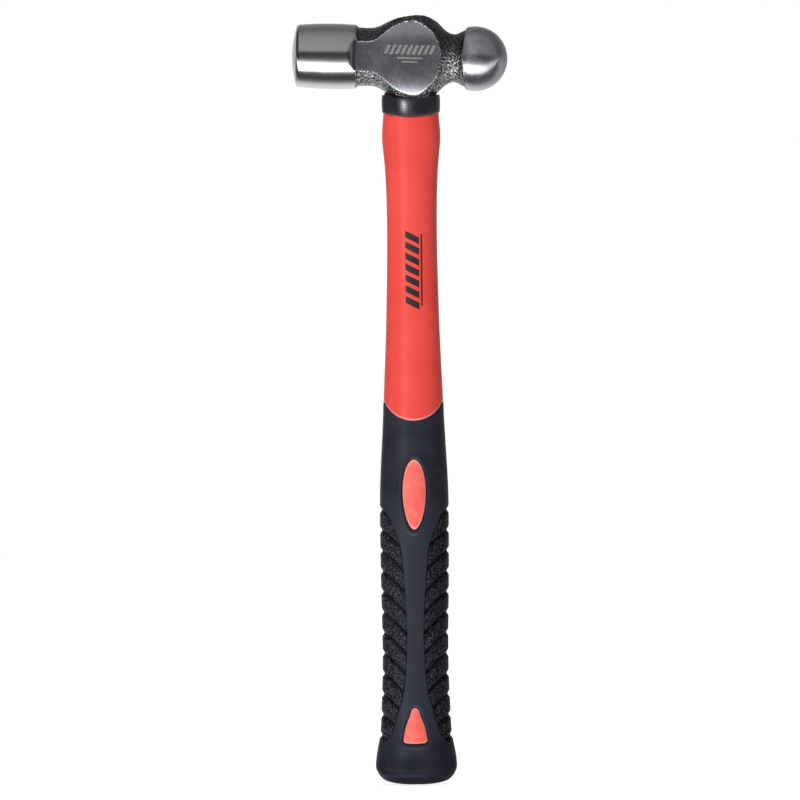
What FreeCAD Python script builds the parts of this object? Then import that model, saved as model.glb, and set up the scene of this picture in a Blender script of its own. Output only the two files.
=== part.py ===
import FreeCAD, Part
import math
import os

# A ball peen hammer of the 225 g (8 oz) class with an overmoulded fibreglass handle.
#
# Millimetres, +Z up the handle to the head, -X the way the striking face looks,
# +X the way the ball looks, -Y the front cheek.
# The origin is the centre of the butt's flat underside, on the axis of the handle.

V = FreeCAD.Vector

# ---- Driving dimensions: head --------------------------------------------------
HEAD_AXIS_HEIGHT = 274.0   # where the head's own long axis crosses the handle's axis
HEAD_CANT = 1.45           # degrees that the ball end hangs below square

FACE_REACH = 44.6          # handle axis to the crown of the striking face
CROWN_RADIUS = 38.0        # the striking face is domed
FACE_CROWN_HALF = 10.0     # the crown gives way to the rounded rim here
FACE_RIM_REACH = 42.75     # a place half way round the rim
FACE_RIM_RADIUS = 11.15
FACE_EDGE_REACH = 41.6     # where the rounded rim of the face meets the poll's side
POLL_FRONT_RADIUS = 11.75  # the poll is a little barrelled: thinner at both ends
POLL_MID_REACH = 31.0
POLL_MID_RADIUS = 12.3
POLL_BACK_REACH = 20.6
POLL_BACK_RADIUS = 12.05
POLL_FOOT_REACH = 19.2     # the step behind the poll ends inside the neck
POLL_FOOT_RADIUS = 10.4

BALL_CENTRE = 24.4
BALL_RADIUS = 12.2
BALL_START = 21.1          # the ball's crisp back edge lies in this plane

CHEEK_HALF = 9.7           # the two cheeks are ground flat, this far from the middle
CHEEK_END = 17.7           # the grinding leaves the flat here, towards the poll
CHEEK_RUNOUT = 7.0         # and climbs out through the poll on this radius
CHEEK_RUNOUT_TURN = math.radians(70)

# The forged blank between poll and ball is oval in every section across its length:
# distance along the head, half height, half depth.
# It starts inside the poll and ends inside the ball.
BLANK_SECTIONS = [
    (-25.0, 11.0, 11.0),
    (-21.0, 11.05, 11.05),
    (-18.0, 10.95, 10.9),
    (-15.6, 10.9, 10.9),
    (-12.4, 11.45, 11.6),
    (-9.4, 13.05, 13.2),
    (-6.7, 15.1, 14.2),
    (-3.5, 16.7, 15.2),
    (0.0, 17.7, 15.2),
    (3.2, 18.05, 14.2),
    (6.3, 16.9, 12.8),
    (9.4, 14.1, 11.3),
    (11.2, 12.3, 9.7),
    (12.8, 10.7, 8.6),
    (15.0, 9.35, 7.8),
    (17.0, 9.1, 7.9),
    (19.0, 9.95, 9.4),
    (21.0, 10.9, 10.8),
    (24.0, 11.5, 11.5),
]

EYE_MOUTH = (9.75, 7.0)    # half length and half width of the eye at both mouths
EYE_WAIST = (8.9, 6.3)     # and at its waist, in the middle of the head
EYE_MOUTH_HEIGHT = 19.0    # the mouths lie this far above and below the middle

# ---- Driving dimensions: handle -------------------------------------------------
# The outside of the whole handle: height, half width, half depth.
HANDLE_SECTIONS = [
    (0.0, 15.3, 12.7),
    (7.0, 15.33, 12.7),
    (11.0, 15.0, 12.5),
    (15.0, 14.3, 12.1),
    (19.0, 13.6, 11.7),
    (27.0, 13.1, 11.35),
    (38.0, 12.65, 11.05),
    (56.0, 12.5, 10.9),
    (75.0, 12.8, 11.05),
    (96.0, 13.0, 11.3),
    (112.0, 12.85, 11.2),
    (130.0, 11.95, 10.5),
    (150.0, 11.0, 9.6),
    (172.0, 10.1, 8.8),
    (192.0, 9.6, 8.35),
    (210.0, 9.4, 8.2),
    (226.0, 9.7, 8.4),
    (236.0, 10.35, 8.8),
    (244.5, 11.0, 9.25),
    (252.0, 10.5, 9.0),
    (258.0, 10.2, 8.55),
    (264.0, 9.8, 7.3),
]
SQUARENESS = 2.25          # 2 is an ellipse; a little more squares the oval off
BUTT_ROUND = 7.0           # the rounding of the butt's lower edge
GRIP_WALL = 2.2            # thickness of the soft grip over the jacket
GRIP_FLOOR = 6.0           # thickness of the soft grip under the jacket's end

JUNCTION_SIDE = 144.0      # the grip's upper edge dips in a U: height at the sides
JUNCTION_DIP = 137.0       # and in the middle of the front and the back
JUNCTION_HALF = 11.1       # half width of the handle at the U's ends

CORE_HALF = (4.6, 3.6)     # half width and half depth of the fibreglass rod
CORE_FOOT = 14.0
TENON_HALF = (8.2, 5.7)    # the jacket's tenon inside the eye
TENON_TOP = 268.0
RESIN_TOP = 286.3          # the resin stops just under the rim of the eye

COLLAR_HALF = (11.05, 10.2)
COLLAR_LOW = 253.3         # both edges at the sides of the handle
COLLAR_HIGH = 260.1
COLLAR_SAG = 1.95          # both edges dip this far in the middle of front and back

# ---- Driving dimensions: windows and ribs ---------------------------------------
OVAL_WINDOW_HEIGHT = 109.3
OVAL_WINDOW_HALF = (4.75, 13.6)
# The lower window is a triangle with bowed sides, apex up: half width, height.
TRIANGLE_OUTLINE = [
    (0.0, 29.55),
    (1.4, 28.85),
    (2.25, 26.75),
    (3.25, 24.1),
    (4.2, 21.1),
    (4.8, 18.0),
    (4.9, 16.8),
    (4.3, 15.9),
    (2.6, 15.45),
    (0.0, 15.3),
]
PAD_RECESS = 0.2           # the jacket's pads stop this far inside the grip's skin

RIB_TOP = 103.9            # height of the highest groove at the side of the grip
RIB_BOTTOM = 19.0
RIB_GROOVES = 12
GROOVE_SLOPE = 42.0        # degrees that the grooves fall from the sides to the strip
GROOVE_WIDTH = 1.1
GROOVE_DEPTH = 0.75
GROOVE_START = 18.0        # the slots are cut from here, outside the grip, inwards
RIB_MARGIN = 12.0          # the lowest groove ends less than this below RIB_BOTTOM

# The smooth strip down the middle between the ribs: height, half width.
STRIP_OUTLINE = [
    (108.0, 14.5),
    (103.0, 11.0),
    (98.3, 8.4),
    (91.0, 5.7),
    (80.0, 4.3),
    (58.0, 3.15),
    (42.0, 3.7),
    (33.0, 5.0),
    (24.0, 7.7),
    (17.0, 11.0),
    (13.5, 15.5),
]

CLEAR = 0.5                # a cutter's overlap past the skin
OVAL_POINTS = 24
SEAM_ANGLE = math.radians(30)  # an oval starts here, clear of the eye and of the cheeks
BEYOND = 40.0              # comfortably past the outside of the handle and head


def oval(axis, at, half_a, half_b, squareness):
    """A closed oval wire across Z or X at the given place along that axis."""
    points = []
    for i in range(OVAL_POINTS):
        angle = 2.0 * math.pi * i / OVAL_POINTS + SEAM_ANGLE
        c = math.cos(angle)
        s = math.sin(angle)
        grow = (abs(c) ** squareness + abs(s) ** squareness) ** (-1.0 / squareness)
        a = half_a * c * grow
        b = half_b * s * grow
        points.append(V(a, b, at) if axis == "Z" else V(at, b, a))
    curve = Part.BSplineCurve()
    spacing = [i / OVAL_POINTS for i in range(OVAL_POINTS + 1)]
    curve.interpolate(Points=points, PeriodicFlag=True, Parameters=spacing)
    return Part.Wire([curve.toShape()])


def ellipse(at, half_x, half_y):
    """A closed elliptical wire in a level plane."""
    curve = Part.Ellipse(V(0, 0, at), half_x, half_y)
    return Part.Wire([curve.toShape()])


def loft(wires):
    return Part.makeLoft(wires, True, False)


def prism(edges):
    """The region inside edges drawn in the XZ plane, right through front to back."""
    face = Part.Face(Part.Wire(edges))
    return face.extrude(V(0, 2 * BEYOND, 0)).translated(V(0, -BEYOND, 0))


def line(a, b):
    return Part.LineSegment(a, b).toShape()


def arc(a, b, c):
    return Part.Arc(a, b, c).toShape()


def place_head(shape):
    """Puts a shape drawn about the head's own axis onto the handle."""
    turned = shape.rotated(V(0, 0, 0), V(0, 1, 0), HEAD_CANT)
    return turned.translated(V(0, 0, HEAD_AXIS_HEIGHT))


# ---- Head ----------------------------------------------------------------------
def poll():
    """The barrelled cylinder with its domed striking face and rounded rim."""
    crown_sag = CROWN_RADIUS - math.sqrt(CROWN_RADIUS ** 2 - FACE_CROWN_HALF ** 2)
    tip = V(-FACE_REACH, 0, 0)
    crown_mid = V(-FACE_REACH + crown_sag / 4, 0, FACE_CROWN_HALF / 2)
    crown_end = V(-FACE_REACH + crown_sag, 0, FACE_CROWN_HALF)
    rim_mid = V(-FACE_RIM_REACH, 0, FACE_RIM_RADIUS)
    rim_end = V(-FACE_EDGE_REACH, 0, POLL_FRONT_RADIUS)
    middle = V(-POLL_MID_REACH, 0, POLL_MID_RADIUS)
    back = V(-POLL_BACK_REACH, 0, POLL_BACK_RADIUS)
    foot = V(-POLL_FOOT_REACH, 0, POLL_FOOT_RADIUS)
    hub = V(-POLL_FOOT_REACH, 0, 0)
    outline = [
        arc(tip, crown_mid, crown_end),
        arc(crown_end, rim_mid, rim_end),
        arc(rim_end, middle, back),
        line(back, foot),
        line(foot, hub),
        line(hub, tip),
    ]
    return Part.Face(Part.Wire(outline)).revolve(V(0, 0, 0), V(1, 0, 0), 360)


def ball():
    """The hemispherical peen with its crisp back edge."""
    start_radius = math.sqrt(BALL_RADIUS ** 2 - (BALL_CENTRE - BALL_START) ** 2)
    start = V(BALL_START, 0, start_radius)
    tip = V(BALL_CENTRE + BALL_RADIUS, 0, 0)
    slope = math.radians(36)
    high = V(BALL_CENTRE + BALL_RADIUS * math.sin(slope), 0, BALL_RADIUS * math.cos(slope))
    hub = V(BALL_START, 0, 0)
    outline = [arc(start, high, tip), line(tip, hub), line(hub, start)]
    return Part.Face(Part.Wire(outline)).revolve(V(0, 0, 0), V(1, 0, 0), 360)


def blank():
    """Poll, oval neck and boss, and ball, before the cheeks are ground."""
    body = loft([oval("X", at, high, deep, 2.0) for at, high, deep in BLANK_SECTIONS])
    return body.fuse([poll(), ball()]).removeSplitter()


def cheek_cut(side):
    """What the grinding takes off one cheek: a flat that runs out through the poll."""
    reach = math.sin(CHEEK_RUNOUT_TURN) * CHEEK_RUNOUT
    lift = CHEEK_RUNOUT - math.cos(CHEEK_RUNOUT_TURN) * CHEEK_RUNOUT
    half = CHEEK_RUNOUT_TURN / 2
    half_reach = math.sin(half) * CHEEK_RUNOUT
    half_lift = CHEEK_RUNOUT - math.cos(half) * CHEEK_RUNOUT
    flat_end = V(-CHEEK_END, side * CHEEK_HALF, 0)
    bend = V(-CHEEK_END - half_reach, side * (CHEEK_HALF + half_lift), 0)
    leave = V(-CHEEK_END - reach, side * (CHEEK_HALF + lift), 0)
    far = V(-CHEEK_END - reach, side * BEYOND, 0)
    corner = V(BALL_START, side * BEYOND, 0)
    near = V(BALL_START, side * CHEEK_HALF, 0)
    outline = [
        arc(flat_end, bend, leave),
        line(leave, far),
        line(far, corner),
        line(corner, near),
        line(near, flat_end),
    ]
    face = Part.Face(Part.Wire(outline))
    return face.extrude(V(0, 0, 2 * BEYOND)).translated(V(0, 0, -BEYOND))


def ground_blank():
    """The forging with both cheeks ground flat, on the handle, its eye not yet cut."""
    return place_head(blank().cut(cheek_cut(-1)).cut(cheek_cut(1)))


def eye():
    """The hourglass hole for the handle, a little longer than the head is high."""
    top = ellipse(EYE_MOUTH_HEIGHT, *EYE_MOUTH)
    waist = ellipse(0.0, *EYE_WAIST)
    bottom = ellipse(-EYE_MOUTH_HEIGHT, *EYE_MOUTH)
    return place_head(loft([bottom, waist, top]))


def hammer_head(forging):
    return forging.cut(eye())


# ---- Handle ---------------------------------------------------------------------
def envelope(inset, low, high):
    """The outside of the handle, drawn in by inset, between two heights."""
    wires = [oval("Z", at, w - inset, d - inset, SQUARENESS) for at, w, d in HANDLE_SECTIONS]
    slab = Part.makeBox(2 * BEYOND, 2 * BEYOND, high - low, V(-BEYOND, -BEYOND, low))
    return loft(wires).common(slab)


def above_junction():
    """Everything above the U-shaped edge of the grip."""
    left = V(-JUNCTION_HALF, 0, JUNCTION_SIDE)
    right = V(JUNCTION_HALF, 0, JUNCTION_SIDE)
    dip = V(0, 0, JUNCTION_DIP)
    top = HEAD_AXIS_HEIGHT
    outline = [
        line(V(-BEYOND, 0, JUNCTION_SIDE), left),
        arc(left, dip, right),
        line(right, V(BEYOND, 0, JUNCTION_SIDE)),
        line(V(BEYOND, 0, JUNCTION_SIDE), V(BEYOND, 0, top)),
        line(V(BEYOND, 0, top), V(-BEYOND, 0, top)),
        line(V(-BEYOND, 0, top), V(-BEYOND, 0, JUNCTION_SIDE)),
    ]
    return prism(outline)


def oval_window():
    """The upper window through front and back."""
    across, along = OVAL_WINDOW_HALF
    middle = V(0, 0, OVAL_WINDOW_HEIGHT)
    top = V(0, 0, OVAL_WINDOW_HEIGHT + along)
    side = V(across, 0, OVAL_WINDOW_HEIGHT)
    return prism([Part.Ellipse(top, side, middle).toShape()])


def triangle_window():
    """The lower window through front and back: a rounded triangle, apex up."""
    right = [V(half, 0, at) for half, at in TRIANGLE_OUTLINE]
    left = [V(-half, 0, at) for half, at in reversed(TRIANGLE_OUTLINE[1:-1])]
    curve = Part.BSplineCurve()
    curve.interpolate(Points=right + left, PeriodicFlag=True)
    return prism([curve.toShape()])


def fibreglass_core():
    """The pultruded rod that carries the load, from the butt to the top of the eye."""
    half_x, half_y = CORE_HALF
    rod = Part.Face(ellipse(CORE_FOOT, half_x, half_y))
    return rod.extrude(V(0, 0, RESIN_TOP - CORE_FOOT))


def handle_jacket(skin, forging, core):
    """The moulded plastic body: bare above the grip, thinner inside it, with raised pads."""
    bare = skin.common(above_junction()).cut(forging)
    tenon = Part.Face(ellipse(JUNCTION_SIDE, *TENON_HALF)).extrude(V(0, 0, TENON_TOP - JUNCTION_SIDE))
    inside = envelope(GRIP_WALL, GRIP_FLOOR, JUNCTION_SIDE + CLEAR)
    pads = envelope(PAD_RECESS, GRIP_FLOOR, JUNCTION_SIDE)
    pads = pads.common(Part.makeCompound([oval_window(), triangle_window()]))
    return bare.fuse([tenon, inside, pads]).cut(core).removeSplitter()


def eye_resin(forging, jacket, core):
    """The black epoxy that bonds the handle into the eye."""
    depth = RESIN_TOP - JUNCTION_SIDE
    below_top = Part.makeBox(BEYOND, BEYOND, depth, V(-BEYOND / 2, -BEYOND / 2, JUNCTION_SIDE))
    return forging.common(eye()).common(below_top).cut([jacket, core])


def collar_slab():
    """The level band of the collar, bowed down in the middle along the handle's front."""
    half = COLLAR_HALF[0] + CLEAR
    low_left = V(-half, 0, COLLAR_LOW)
    low_right = V(half, 0, COLLAR_LOW)
    high_left = V(-half, 0, COLLAR_HIGH)
    high_right = V(half, 0, COLLAR_HIGH)
    outline = [
        arc(low_left, V(0, 0, COLLAR_LOW - COLLAR_SAG), low_right),
        line(low_right, high_right),
        arc(high_right, V(0, 0, COLLAR_HIGH - COLLAR_SAG), high_left),
        line(high_left, low_left),
    ]
    return prism(outline)


def neck_collar(skin, forging):
    """The rubber ring that seals the handle to the underside of the head."""
    base = COLLAR_LOW - 2 * COLLAR_SAG
    height = COLLAR_HIGH + COLLAR_SAG - base
    outside = Part.Face(oval("Z", base, *COLLAR_HALF, SQUARENESS)).extrude(V(0, 0, height))
    return outside.common(collar_slab()).cut([skin, forging])


def strip_prism():
    """The region of the smooth strip, where the grip has no grooves."""
    right = [V(half, 0, at) for at, half in STRIP_OUTLINE]
    left = [V(-half, 0, at) for at, half in reversed(STRIP_OUTLINE)]
    sides = []
    for points in (right, left):
        curve = Part.BSplineCurve()
        curve.interpolate(points)
        sides.append(curve.toShape())
    sides.insert(1, line(right[-1], left[0]))
    sides.append(line(left[-1], right[0]))
    return prism(sides)


def groove_knife(side, at):
    """One sloping slot that starts at the side of the grip and falls towards the strip."""
    drop = math.tan(math.radians(GROOVE_SLOPE))
    edge = max(half for height, half, depth in HANDLE_SECTIONS if RIB_BOTTOM < height < RIB_TOP)
    half = GROOVE_WIDTH / 2 / math.cos(math.radians(GROOVE_SLOPE))
    high = at + (GROOVE_START - edge) * drop
    low = at - edge * drop
    corners = [
        V(side * GROOVE_START, 0, high + half),
        V(0, 0, low + half),
        V(0, 0, low - half),
        V(side * GROOVE_START, 0, high - half),
    ]
    edges = [line(corners[i], corners[(i + 1) % 4]) for i in range(4)]
    return prism(edges)


def grooves():
    """The herringbone of shallow slots on both sides of the grip."""
    foot = RIB_BOTTOM - RIB_MARGIN
    top = RIB_TOP + RIB_MARGIN / 2
    skin = envelope(-CLEAR, foot, top).cut(envelope(GROOVE_DEPTH, foot - CLEAR, top + CLEAR))
    skin = skin.cut(strip_prism())
    pitch = (RIB_TOP - RIB_BOTTOM) / (RIB_GROOVES - 1)
    knives = []
    for side in (-1, 1):
        for i in range(RIB_GROOVES):
            knives.append(groove_knife(side, RIB_TOP - i * pitch))
    return skin.common(Part.makeCompound(knives))


def butt_rounded(shape):
    """Rounds the lower edge of the butt, leaving a flat oval to stand on."""
    foot = [e for e in shape.Edges if e.BoundBox.ZMax < CLEAR]
    return shape.makeFillet(BUTT_ROUND, foot)


def grip_sleeve(skin, jacket, core):
    """The soft overmoulded grip with its windows, ribs and flared butt."""
    body = butt_rounded(skin).cut([above_junction(), oval_window(), triangle_window(), jacket, core])
    return body.cut(grooves()).removeSplitter()


def build():
    skin = envelope(0.0, 0.0, HANDLE_SECTIONS[-1][0])
    forging = ground_blank()
    core = fibreglass_core()
    jacket = handle_jacket(skin, forging, core)
    return {
        "hammer_head": hammer_head(forging),
        "fibreglass_core": core,
        "handle_jacket": jacket,
        "eye_resin": eye_resin(forging, jacket, core),
        "neck_collar": neck_collar(skin, forging),
        "grip_sleeve": grip_sleeve(skin, jacket, core),
    }


os.makedirs("parts", exist_ok=True)
for name, shape in build().items():
    if len(shape.Solids) != 1 or not shape.isValid():
        raise ValueError(name + " is not one valid solid")
    solid = shape.Solids[0]
    solid.exportStep("parts/" + name + ".step")
    print(name, round(solid.Volume), "mm3")
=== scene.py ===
"""Ball peen hammer: the finished surfaces, materials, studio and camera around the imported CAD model.

Lengths are millimetres until a mesh is made, which is in metres. +Z runs up the handle, -X is the
striking face's side, +X the ball's, and -Y the front cheek.
"""
import bmesh
import bpy
import math
import numpy as np
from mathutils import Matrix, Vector, noise


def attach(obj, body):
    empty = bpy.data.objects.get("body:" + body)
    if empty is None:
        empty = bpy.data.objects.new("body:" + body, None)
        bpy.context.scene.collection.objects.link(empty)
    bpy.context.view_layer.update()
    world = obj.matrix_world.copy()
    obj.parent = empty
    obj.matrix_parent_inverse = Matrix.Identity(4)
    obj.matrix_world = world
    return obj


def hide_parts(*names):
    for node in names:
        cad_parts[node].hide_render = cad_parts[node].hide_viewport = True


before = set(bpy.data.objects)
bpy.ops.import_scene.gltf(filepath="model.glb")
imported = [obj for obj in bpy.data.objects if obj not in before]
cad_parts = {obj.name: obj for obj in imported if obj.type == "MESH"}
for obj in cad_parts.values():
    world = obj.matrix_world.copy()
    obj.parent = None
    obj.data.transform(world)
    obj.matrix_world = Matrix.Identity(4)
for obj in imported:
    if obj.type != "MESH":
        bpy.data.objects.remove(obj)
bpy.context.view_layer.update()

MM = 0.001
HEAD_COLUMNS = 300
HANDLE_COLUMNS = 256
EYE_COLUMNS = 128

# ---- Head: the CAD's driving sizes, and those of the finer visual surface ----
HEAD_AXIS_HEIGHT = 274.0
HEAD_CANT = math.radians(1.45)
FACE_REACH = 44.6
CROWN_RADIUS = 38.0
FACE_CROWN_HALF = 10.0
FACE_EDGE_REACH = 41.6
POLL_FRONT_RADIUS = 11.75
POLL_MID_REACH = 31.0
POLL_MID_RADIUS = 12.3
POLL_BACK_REACH = 20.6
POLL_BACK_RADIUS = 12.05
BALL_CENTRE = 24.4
BALL_RADIUS = 12.195       # 0.005 less than in the CAD, to stay inside its box
BALL_BACK = 21.1           # the ball's crisp back edge, at the top and bottom
BALL_BOW = 1.5             # on the cheeks it lies this much nearer to the handle
POLL_BACK_RISE = 1.25      # steepness of the step behind the poll
BALL_BACK_RISE = 2.2       # and of the one behind the ball
CHEEK_HALF = 9.7
CHEEK_END = 17.7
CHEEK_RUNOUT = 7.0
CHEEK_ROLL = 0.85          # the ground cheeks fall away by this much at CHEEK_SPAN
CHEEK_SPAN = 12.0          # above and below the head's axis
CHEEK_ARCH = 0.035         # the forging is slimmer by this share beside the cheek's top
CHEEK_BELLY = 0.05         # and fuller by this share below it
CHEEK_ARM_CUT = 0.1        # towards the poll the cheek is ground this much deeper
CHEEK_TWIST = 0.02         # and faces up by this slope
CHEEK_EDGE = 0.17          # rounding of the edge between the cheek and the forging
# The forging: place along the head, half height, half depth.
BLANK_SECTIONS = [
    (-25.0, 11.0, 11.0), (-21.0, 11.05, 11.05), (-18.0, 10.95, 10.9),
    (-15.6, 10.9, 10.9), (-12.4, 11.45, 11.6), (-9.4, 13.05, 13.2),
    (-6.7, 15.1, 14.2), (-3.5, 16.7, 15.2), (0.0, 17.7, 15.2),
    (3.2, 18.05, 14.2), (6.3, 16.9, 12.8), (9.4, 14.1, 11.3),
    (11.2, 12.3, 9.7), (12.8, 10.7, 8.6), (15.0, 9.35, 7.8),
    (17.0, 9.1, 7.9), (19.0, 9.95, 9.4), (21.0, 10.9, 10.8),
    (24.0, 11.5, 11.5),
]
EYE_MOUTH = (9.75, 7.0)
EYE_WAIST = (8.9, 6.3)
EYE_HALF_LENGTH = 19.0
EYE_ROUND = 0.7            # the rim of the eye is broken by this much
FORGED_LUMPS = ((0.05, 1.9, 1), (0.09, 0.62, 2))   # height, size and seed of its unevenness

# ---- Handle: the CAD's driving sizes, and those of the finer visual surface ----
# Height, half width, half depth.
HANDLE_SECTIONS = [
    (0.0, 15.3, 12.7), (7.0, 15.33, 12.7), (11.0, 15.0, 12.5),
    (15.0, 14.3, 12.1), (19.0, 13.6, 11.7), (27.0, 13.1, 11.35),
    (38.0, 12.65, 11.05), (56.0, 12.5, 10.9), (75.0, 12.8, 11.05),
    (96.0, 13.0, 11.3), (112.0, 12.85, 11.2), (130.0, 11.95, 10.5),
    (150.0, 11.0, 9.6), (172.0, 10.1, 8.8), (192.0, 9.6, 8.35),
    (210.0, 9.4, 8.2), (226.0, 9.7, 8.4), (236.0, 10.35, 8.8),
    (244.5, 11.0, 9.25), (252.0, 10.5, 9.0), (258.0, 10.2, 8.55),
    (264.0, 9.8, 7.3),
]
SQUARENESS = 2.25
GRIP_WALL = 2.2
GRIP_FLOOR = 6.0
JUNCTION_SIDE = 144.0
JUNCTION_DIP = 137.0
JUNCTION_HALF = 11.1
JUNCTION_LOOP = 140.0      # the handle's loop that the junction is drawn on
NECK_LOOP = 262.0          # and the one that the tenon starts from
HEAD_GAP = 0.05            # between the jacket's shoulder and the head
CORE_HALF = (4.6, 3.6)
CORE_FOOT = 14.0
TENON_HALF = (8.2, 5.7)
TENON_TOP = 268.0
RESIN_TOP = 286.3
COLLAR_HALF = (11.05, 10.2)
COLLAR_LOW = 253.3
COLLAR_HIGH = 260.1
COLLAR_SAG = 1.95
COLLAR_BULGE = 0.2         # the collar's edges are drawn in by this much
COLLAR_WALL = 1.3
COLLAR_LOW_ROUND = 0.4
COLLAR_HIGH_ROUND = 0.25
OVAL_WINDOW_HEIGHT = 109.3
OVAL_WINDOW_HALF = (4.75, 13.6)
OVAL_WINDOW_EGG = 0.08     # wider than that at the top, narrower below
# Half width and height, from the apex down.
TRIANGLE_OUTLINE = [
    (0.0, 29.55), (1.4, 28.85), (2.25, 26.75), (3.25, 24.1),
    (4.2, 21.1), (4.8, 18.0), (4.9, 16.8), (4.3, 15.9),
    (2.6, 15.45), (0.0, 15.3),
]
TRIANGLE_SHIFT = -0.3      # it sits this much off the middle
PAD_GAP = 0.36             # dark gap round each pad
PRINT_HEIGHT = 193.7       # middle of the ornament on the shaft
# height of the painted highlight line round the butt
BUTT_HIGHLIGHT_HEIGHT = 3.5
RIB_TOP = 103.9
RIB_BOTTOM = 19.0
RIB_GROOVES = 12
GROOVE_SLOPE = math.tan(math.radians(42.0))
GROOVE_DEPTH = 0.8         # 0.05 more than in the CAD
RIB_SINK = 0.42            # the ribs lie this much below the strip at the front
LIP_HEIGHT = 0.5           # of the rounded lip at the grip's upper edge
WINDOW_ROUND = 0.5         # width and drop of the rounding round the windows
WINDOW_DROP = 0.4
# The smooth strip between the ribs: height, half width.
STRIP_OUTLINE = [
    (13.5, 15.5), (17.0, 11.0), (24.0, 7.7), (33.0, 5.0),
    (42.0, 3.7), (58.0, 3.15), (80.0, 4.3), (91.0, 5.7),
    (98.3, 8.4), (103.0, 11.0), (108.0, 14.5),
]


# ---- Curves and blends ----
def spline(places, values):
    """A natural cubic through the given points, as a function that takes arrays."""
    x = np.array(places, float)
    y = np.array(values, float)
    h = np.diff(x)
    count = len(x)
    system = np.eye(count)
    right = np.zeros(count)
    for i in range(1, count - 1):
        system[i, i - 1 : i + 2] = (h[i - 1], 2 * (h[i - 1] + h[i]), h[i])
        right[i] = 6 * ((y[i + 1] - y[i]) / h[i] - (y[i] - y[i - 1]) / h[i - 1])
    bend = np.linalg.solve(system, right)

    def value(at):
        at = np.clip(np.asarray(at, float), x[0], x[-1])
        i = np.clip(np.searchsorted(x, at) - 1, 0, count - 2)
        past = at - x[i]
        left = x[i + 1] - at
        curve = (bend[i] * left**3 + bend[i + 1] * past**3) / (6 * h[i])
        line_a = (y[i] / h[i] - bend[i] * h[i] / 6) * left
        line_b = (y[i + 1] / h[i] - bend[i + 1] * h[i] / 6) * past
        return curve + line_a + line_b

    return value


def table(rows, column):
    return spline([r[0] for r in rows], [r[column] for r in rows])


def soft_min(a, b, width):
    """The lesser of two surfaces, with the edge between them rounded over width."""
    share = np.clip(0.5 + 0.5 * (b - a) / width, 0, 1)
    return b * (1 - share) + a * share - width * share * (1 - share)


def soft_max(a, b, width):
    return -soft_min(-a, -b, width)


def ease(value, low, high):
    """0 below low, 1 above high, smooth between."""
    t = np.clip((np.asarray(value, float) - low) / (high - low), 0, 1)
    return t * t * (3 - 2 * t)


def grain(points, size, seed):
    """Smooth noise from about -1 to 1 at each point, with features of the given size."""
    shift = Vector((seed * 17.3, seed * 5.1, seed * 11.7))
    return np.array([noise.noise(Vector(p) / size + shift) for p in points.reshape(-1, 3)])


def oval_radius(angle, half_a, half_b, squareness):
    """Distance from the centre to an oval's edge in the given direction."""
    c = np.abs(np.cos(angle)) / half_a
    s = np.abs(np.sin(angle)) / half_b
    return (c**squareness + s**squareness) ** (-1.0 / squareness)


# ---- Meshes ----
def place_points(x, y, z):
    """Points from their coordinates, any of which may be one number for all."""
    return np.stack(np.broadcast_arrays(x, y, z), axis=-1)


def stack_rows(rows):
    """Rows of (points, mask, mask) as one array of each."""
    return [np.array(kind) for kind in zip(*rows)]


def link_new(name, data):
    """A new object in the scene."""
    made = bpy.data.objects.new(name, data)
    bpy.context.scene.collection.objects.link(made)
    return made


def skin_faces(rows, columns, ring):
    """Quads between neighbouring loops of points; ring also joins the last loop to the first."""
    r = np.arange(rows if ring else rows - 1)
    c = np.arange(columns)
    r, c = np.meshgrid(r, c, indexing="ij")
    up = (r + 1) % rows
    beside = (c + 1) % columns
    corners = (r * columns + c, r * columns + beside, up * columns + beside, up * columns + c)
    return np.stack(corners, axis=-1).reshape(-1, 4)


def closed_skin(loops, ring=False):
    """Points and faces of a closed surface through loops of points, capped at both ends."""
    loops = np.asarray(loops, float)
    rows, columns = loops.shape[:2]
    points = loops.reshape(-1, 3)
    faces = [tuple(f) for f in skin_faces(rows, columns, ring)]
    if not ring:
        points = np.vstack([points, loops[0].mean(axis=0), loops[-1].mean(axis=0)])
        low = rows * columns
        last = (rows - 1) * columns
        for c in range(columns):
            beside = (c + 1) % columns
            faces.append((low, beside, c))
            faces.append((low + 1, last + c, last + beside))
    return points, faces


def new_piece(name, parts, material):
    """One smooth-shaded object from closed skins, with its faces turned outwards."""
    points = []
    faces = []
    for part_points, part_faces in parts:
        base = sum(len(p) for p in points)
        points.append(part_points)
        faces += [tuple(base + i for i in f) for f in part_faces]
    mesh = bpy.data.meshes.new(name)
    mesh.from_pydata((np.vstack(points) * MM).tolist(), [], faces)
    mesh.update()
    piece = link_new(name, mesh)
    mesh.materials.append(material)
    face_outwards(piece)
    smooth(piece)
    return piece


def face_outwards(piece):
    work = bmesh.new()
    work.from_mesh(piece.data)
    bmesh.ops.recalc_face_normals(work, faces=work.faces)
    work.to_mesh(piece.data)
    work.free()


def smooth(piece, edge_angle=50):
    piece.data.shade_smooth()
    piece.data.set_sharp_from_angle(angle=math.radians(edge_angle))


def carve(piece, cutter):
    """Takes the cutter's volume out of the piece for good, and removes the cutter."""
    cut = piece.modifiers.new("carve", "BOOLEAN")
    cut.operation = "DIFFERENCE"
    cut.solver = "EXACT"
    cut.object = cutter
    graph = bpy.context.evaluated_depsgraph_get()
    carved = bpy.data.meshes.new_from_object(piece.evaluated_get(graph))
    piece.modifiers.clear()
    piece.data = carved
    bpy.data.objects.remove(cutter)
    smooth(piece)


def mark_points(piece, name, masks):
    """Stores one mask per capped skin as a point attribute; the caps' middles get 0."""
    values = np.concatenate([np.append(mask.ravel(), (0, 0)) for mask in masks]).astype(np.float32)
    piece.data.attributes.new(name, "FLOAT", "POINT").data.foreach_set("value", values)


def columns(count):
    return np.arange(count) * 2 * math.pi / count


# ---- Head ----
blank_height = table(BLANK_SECTIONS, 1)
blank_depth = table(BLANK_SECTIONS, 2)


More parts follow.
